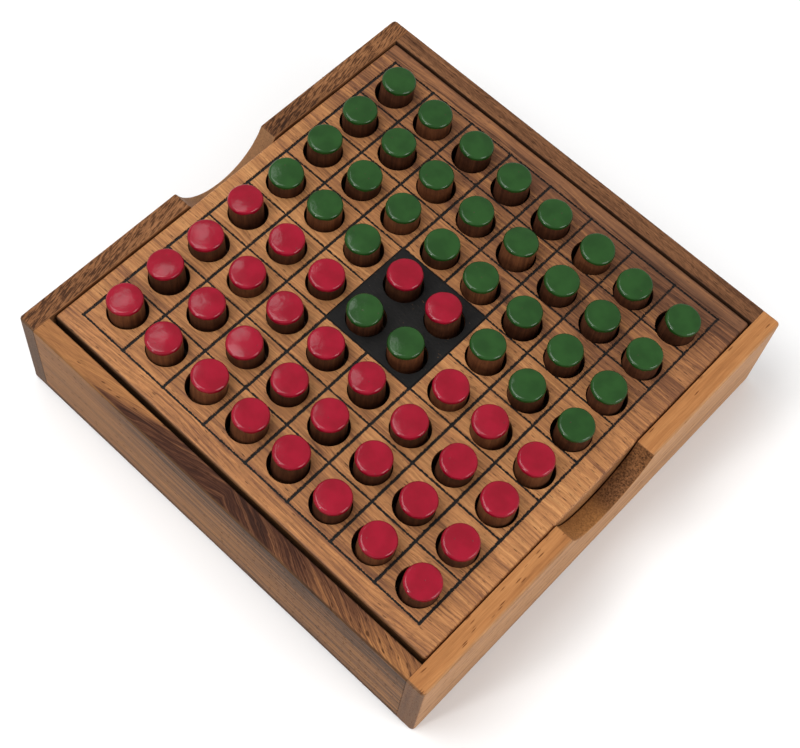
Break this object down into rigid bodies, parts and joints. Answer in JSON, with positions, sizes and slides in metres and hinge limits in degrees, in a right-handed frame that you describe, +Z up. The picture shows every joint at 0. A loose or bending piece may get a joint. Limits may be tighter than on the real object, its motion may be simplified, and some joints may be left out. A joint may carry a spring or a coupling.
{
  "type": "reversi board game",
  "caption": "Wooden peg reversi game: a loose square board with a drawn grid of drilled holes in a tray with finger scoops, and short dowel pegs dipped in red and green enamel.",
  "frame": {"origin": "centre of the underside of the tray", "axes": "+Z up; +X along the grain of the board, towards one scooped end wall; +Y towards the back side wall"},
  "size_m": [0.168, 0.168, 0.0454],
  "materials": {
    "wood_end_walls": "satin",
    "wood_side_walls": "satin",
    "wood_bottom": "matte",
    "wood_board": "satin",
    "peg_red_up": "gloss",
    "peg_green_up": "gloss"
  },
  "bodies": {
    "tray": {"bottom_panel": "wood_bottom", "end_wall_left": "wood_end_walls", "end_wall_right": "wood_end_walls", "side_wall_front": "wood_side_walls", "side_wall_back": "wood_side_walls", "ledge_front": "wood_bottom", "ledge_back": "wood_bottom"},
    "board": {"board": "wood_board"},
    "peg_c1": {"peg_c1": "peg_red_up"},
    "peg_d1": {"peg_d1": "peg_red_up"},
    "peg_e1": {"peg_e1": "peg_green_up"},
    "peg_f1": {"peg_f1": "peg_green_up"},
    "peg_c2": {"peg_c2": "peg_red_up"},
    "peg_d2": {"peg_d2": "peg_red_up"},
    "peg_e2": {"peg_e2": "peg_green_up"},
    "peg_f2": {"peg_f2": "peg_green_up"},
    "peg_a3": {"peg_a3": "peg_red_up"},
    "peg_b3": {"peg_b3": "peg_red_up"},
    "peg_c3": {"peg_c3": "peg_red_up"},
    "peg_d3": {"peg_d3": "peg_red_up"},
    "peg_e3": {"peg_e3": "peg_green_up"},
    "peg_f3": {"peg_f3": "peg_green_up"},
    "peg_g3": {"peg_g3": "peg_green_up"},
    "peg_h3": {"peg_h3": "peg_green_up"},
    "peg_a4": {"peg_a4": "peg_red_up"},
    "peg_b4": {"peg_b4": "peg_red_up"},
    "peg_c4": {"peg_c4": "peg_red_up"},
    "peg_d4": {"peg_d4": "peg_green_up"},
    "peg_e4": {"peg_e4": "peg_red_up"},
    "peg_f4": {"peg_f4": "peg_green_up"},
    "peg_g4": {"peg_g4": "peg_green_up"},
    "peg_h4": {"peg_h4": "peg_green_up"},
    "peg_a5": {"peg_a5": "peg_red_up"},
    "peg_b5": {"peg_b5": "peg_red_up"},
    "peg_c5": {"peg_c5": "peg_red_up"},
    "peg_d5": {"peg_d5": "peg_green_up"},
    "peg_e5": {"peg_e5": "peg_red_up"},
    "peg_f5": {"peg_f5": "peg_green_up"},
    "peg_g5": {"peg_g5": "peg_green_up"},
    "peg_h5": {"peg_h5": "peg_green_up"},
    "peg_a6": {"peg_a6": "peg_red_up"},
    "peg_b6": {"peg_b6": "peg_red_up"},
    "peg_c6": {"peg_c6": "peg_red_up"},
    "peg_d6": {"peg_d6": "peg_red_up"},
    "peg_e6": {"peg_e6": "peg_green_up"},
    "peg_f6": {"peg_f6": "peg_green_up"},
    "peg_g6": {"peg_g6": "peg_green_up"},
    "peg_h6": {"peg_h6": "peg_green_up"},
    "peg_c7": {"peg_c7": "peg_red_up"},
    "peg_d7": {"peg_d7": "peg_red_up"},
    "peg_e7": {"peg_e7": "peg_green_up"},
    "peg_f7": {"peg_f7": "peg_green_up"},
    "peg_c8": {"peg_c8": "peg_red_up"},
    "peg_d8": {"peg_d8": "peg_red_up"},
    "peg_e8": {"peg_e8": "peg_green_up"},
    "peg_f8": {"peg_f8": "peg_green_up"},
    "pegs_corner_a1": {"pegs_corner_a1": "peg_red_up"},
    "pegs_corner_h1": {"pegs_corner_h1": "peg_green_up"},
    "pegs_corner_a8": {"pegs_corner_a8": "peg_red_up"},
    "pegs_corner_h8": {"pegs_corner_h8": "peg_green_up"}
  },
  "joints": [
    {"name": "board_lift", "type": "slide", "parent": "tray", "child": "board", "axis": [0, 0, 1], "range_m": [0, 0.045]},
    {"name": "peg_c1_lift", "type": "slide", "parent": "board", "child": "peg_c1", "axis": [0, 0, 1], "range_m": [0, 0.018]},
    {"name": "peg_d1_lift", "type": "slide", "parent": "board", "child": "peg_d1", "axis": [0, 0, 1], "range_m": [0, 0.018]},
    {"name": "peg_e1_lift", "type": "slide", "parent": "board", "child": "peg_e1", "axis": [0, 0, 1], "range_m": [0, 0.018]},
    {"name": "peg_f1_lift", "type": "slide", "parent": "board", "child": "peg_f1", "axis": [0, 0, 1], "range_m": [0, 0.018]},
    {"name": "peg_c2_lift", "type": "slide", "parent": "board", "child": "peg_c2", "axis": [0, 0, 1], "range_m": [0, 0.018]},
    {"name": "peg_d2_lift", "type": "slide", "parent": "board", "child": "peg_d2", "axis": [0, 0, 1], "range_m": [0, 0.018]},
    {"name": "peg_e2_lift", "type": "slide", "parent": "board", "child": "peg_e2", "axis": [0, 0, 1], "range_m": [0, 0.018]},
    {"name": "peg_f2_lift", "type": "slide", "parent": "board", "child": "peg_f2", "axis": [0, 0, 1], "range_m": [0, 0.018]},
    {"name": "peg_a3_lift", "type": "slide", "parent": "board", "child": "peg_a3", "axis": [0, 0, 1], "range_m": [0, 0.018]},
    {"name": "peg_b3_lift", "type": "slide", "parent": "board", "child": "peg_b3", "axis": [0, 0, 1], "range_m": [0, 0.018]},
    {"name": "peg_c3_lift", "type": "slide", "parent": "board", "child": "peg_c3", "axis": [0, 0, 1], "range_m": [0, 0.018]},
    {"name": "peg_d3_lift", "type": "slide", "parent": "board", "child": "peg_d3", "axis": [0, 0, 1], "range_m": [0, 0.018]},
    {"name": "peg_e3_lift", "type": "slide", "parent": "board", "child": "peg_e3", "axis": [0, 0, 1], "range_m": [0, 0.018]},
    {"name": "peg_f3_lift", "type": "slide", "parent": "board", "child": "peg_f3", "axis": [0, 0, 1], "range_m": [0, 0.018]},
    {"name": "peg_g3_lift", "type": "slide", "parent": "board", "child": "peg_g3", "axis": [0, 0, 1], "range_m": [0, 0.018]},
    {"name": "peg_h3_lift", "type": "slide", "parent": "board", "child": "peg_h3", "axis": [0, 0, 1], "range_m": [0, 0.018]},
    {"name": "peg_a4_lift", "type": "slide", "parent": "board", "child": "peg_a4", "axis": [0, 0, 1], "range_m": [0, 0.018]},
    {"name": "peg_b4_lift", "type": "slide", "parent": "board", "child": "peg_b4", "axis": [0, 0, 1], "range_m": [0, 0.018]},
    {"name": "peg_c4_lift", "type": "slide", "parent": "board", "child": "peg_c4", "axis": [0, 0, 1], "range_m": [0, 0.018]},
    {"name": "peg_d4_lift", "type": "slide", "parent": "board", "child": "peg_d4", "axis": [0, 0, 1], "range_m": [0, 0.018]},
    {"name": "peg_e4_lift", "type": "slide", "parent": "board", "child": "peg_e4", "axis": [0, 0, 1], "range_m": [0, 0.018]},
    {"name": "peg_f4_lift", "type": "slide", "parent": "board", "child": "peg_f4", "axis": [0, 0, 1], "range_m": [0, 0.018]},
    {"name": "peg_g4_lift", "type": "slide", "parent": "board", "child": "peg_g4", "axis": [0, 0, 1], "range_m": [0, 0.018]},
    {"name": "peg_h4_lift", "type": "slide", "parent": "board", "child": "peg_h4", "axis": [0, 0, 1], "range_m": [0, 0.018]},
    {"name": "peg_a5_lift", "type": "slide", "parent": "board", "child": "peg_a5", "axis": [0, 0, 1], "range_m": [0, 0.018]},
    {"name": "peg_b5_lift", "type": "slide", "parent": "board", "child": "peg_b5", "axis": [0, 0, 1], "range_m": [0, 0.018]},
    {"name": "peg_c5_lift", "type": "slide", "parent": "board", "child": "peg_c5", "axis": [0, 0, 1], "range_m": [0, 0.018]},
    {"name": "peg_d5_lift", "type": "slide", "parent": "board", "child": "peg_d5", "axis": [0, 0, 1], "range_m": [0, 0.018]},
    {"name": "peg_e5_lift", "type": "slide", "parent": "board", "child": "peg_e5", "axis": [0, 0, 1], "range_m": [0, 0.018]},
    {"name": "peg_f5_lift", "type": "slide", "parent": "board", "child": "peg_f5", "axis": [0, 0, 1], "range_m": [0, 0.018]},
    {"name": "peg_g5_lift", "type": "slide", "parent": "board", "child": "peg_g5", "axis": [0, 0, 1], "range_m": [0, 0.018]},
    {"name": "peg_h5_lift", "type": "slide", "parent": "board", "child": "peg_h5", "axis": [0, 0, 1], "range_m": [0, 0.018]},
    {"name": "peg_a6_lift", "type": "slide", "parent": "board", "child": "peg_a6", "axis": [0, 0, 1], "range_m": [0, 0.018]},
    {"name": "peg_b6_lift", "type": "slide", "parent": "board", "child": "peg_b6", "axis": [0, 0, 1], "range_m": [0, 0.018]},
    {"name": "peg_c6_lift", "type": "slide", "parent": "board", "child": "peg_c6", "axis": [0, 0, 1], "range_m": [0, 0.018]},
    {"name": "peg_d6_lift", "type": "slide", "parent": "board", "child": "peg_d6", "axis": [0, 0, 1], "range_m": [0, 0.018]},
    {"name": "peg_e6_lift", "type": "slide", "parent": "board", "child": "peg_e6", "axis": [0, 0, 1], "range_m": [0, 0.018]},
    {"name": "peg_f6_lift", "type": "slide", "parent": "board", "child": "peg_f6", "axis": [0, 0, 1], "range_m": [0, 0.018]},
    {"name": "peg_g6_lift", "type": "slide", "parent": "board", "child": "peg_g6", "axis": [0, 0, 1], "range_m": [0, 0.018]},
    {"name": "peg_h6_lift", "type": "slide", "parent": "board", "child": "peg_h6", "axis": [0, 0, 1], "range_m": [0, 0.018]},
    {"name": "peg_c7_lift", "type": "slide", "parent": "board", "child": "peg_c7", "axis": [0, 0, 1], "range_m": [0, 0.018]},
    {"name": "peg_d7_lift", "type": "slide", "parent": "board", "child": "peg_d7", "axis": [0, 0, 1], "range_m": [0, 0.018]},
    {"name": "peg_e7_lift", "type": "slide", "parent": "board", "child": "peg_e7", "axis": [0, 0, 1], "range_m": [0, 0.018]},
    {"name": "peg_f7_lift", "type": "slide", "parent": "board", "child": "peg_f7", "axis": [0, 0, 1], "range_m": [0, 0.018]},
    {"name": "peg_c8_lift", "type": "slide", "parent": "board", "child": "peg_c8", "axis": [0, 0, 1], "range_m": [0, 0.018]},
    {"name": "peg_d8_lift", "type": "slide", "parent": "board", "child": "peg_d8", "axis": [0, 0, 1], "range_m": [0, 0.018]},
    {"name": "peg_e8_lift", "type": "slide", "parent": "board", "child": "peg_e8", "axis": [0, 0, 1], "range_m": [0, 0.018]},
    {"name": "peg_f8_lift", "type": "slide", "parent": "board", "child": "peg_f8", "axis": [0, 0, 1], "range_m": [0, 0.018]},
    {"name": "pegs_corner_a1_lift", "type": "slide", "parent": "board", "child": "pegs_corner_a1", "axis": [0, 0, 1], "range_m": [0, 0.018]},
    {"name": "pegs_corner_h1_lift", "type": "slide", "parent": "board", "child": "pegs_corner_h1", "axis": [0, 0, 1], "range_m": [0, 0.018]},
    {"name": "pegs_corner_a8_lift", "type": "slide", "parent": "board", "child": "pegs_corner_a8", "axis": [0, 0, 1], "range_m": [0, 0.018]},
    {"name": "pegs_corner_h8_lift", "type": "slide", "parent": "board", "child": "pegs_corner_h8", "axis": [0, 0, 1], "range_m": [0, 0.018]}
  ]
}
